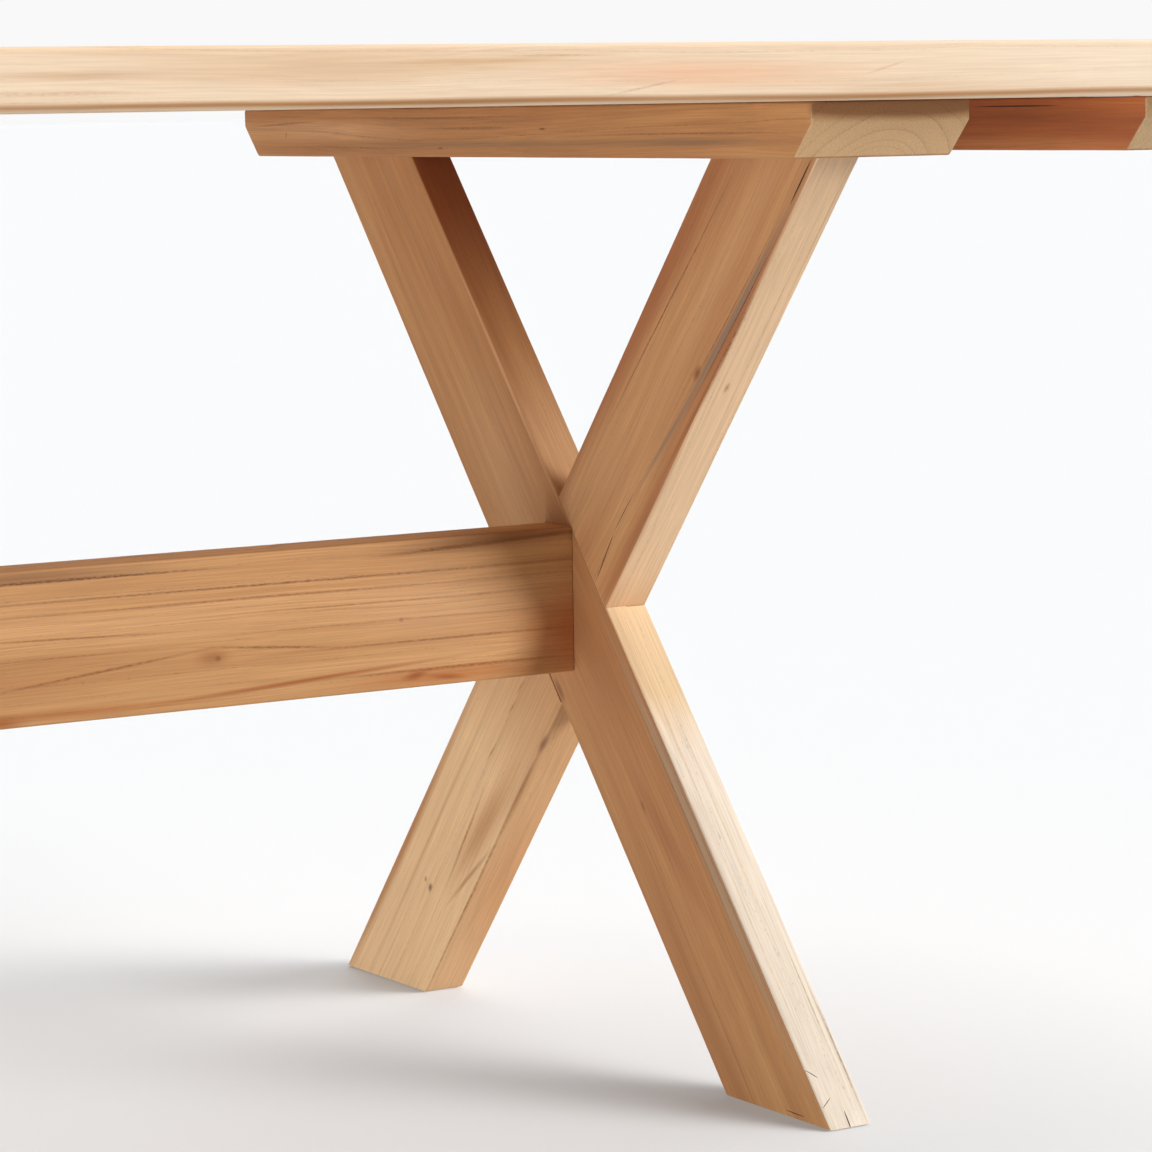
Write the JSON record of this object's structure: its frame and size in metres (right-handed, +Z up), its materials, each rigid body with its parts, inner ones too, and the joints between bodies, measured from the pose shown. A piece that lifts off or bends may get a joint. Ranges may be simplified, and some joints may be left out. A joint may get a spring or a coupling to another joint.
{
  "type": "outdoor dining table",
  "caption": "Long rectangular plank-top outdoor dining table on X-shaped lapped trestles joined by a stretcher, with bevelled battens under the top.",
  "frame": {"origin": "on the floor, at the middle of the table's length and width", "axes": "+X along the table, +Y across it towards the back, +Z up"},
  "size_m": [2.4, 0.96, 0.75],
  "materials": {
    "top_wood": "sanded and oiled teak",
    "frame_wood": "sanded and oiled teak",
    "steel": "stainless, as rolled and turned",
    "brass": "turned",
    "dowel_wood": "fluted beech, dry",
    "nylon": "moulded"
  },
  "bodies": {
    "root": {"front_plank_1": "top_wood", "front_plank_2": "top_wood", "front_plank_3": "top_wood", "back_plank_1": "top_wood", "back_plank_2": "top_wood", "back_plank_3": "top_wood", "left_end_batten": "frame_wood", "middle_batten": "frame_wood", "right_end_batten": "frame_wood", "left_top_rail": "frame_wood", "right_top_rail": "frame_wood", "right_front_leg": "frame_wood", "right_back_leg": "frame_wood", "left_back_leg": "frame_wood", "left_front_leg": "frame_wood", "stretcher": "frame_wood", "plank_screws": "steel", "rail_bolts": "steel", "rail_washers": "steel", "stretcher_bolts": "steel", "stretcher_washers": "steel", "barrel_nuts": "steel", "threaded_inserts": "brass", "dowels": "dowel_wood", "foot_pads": "nylon"}
  },
  "joints": []
}
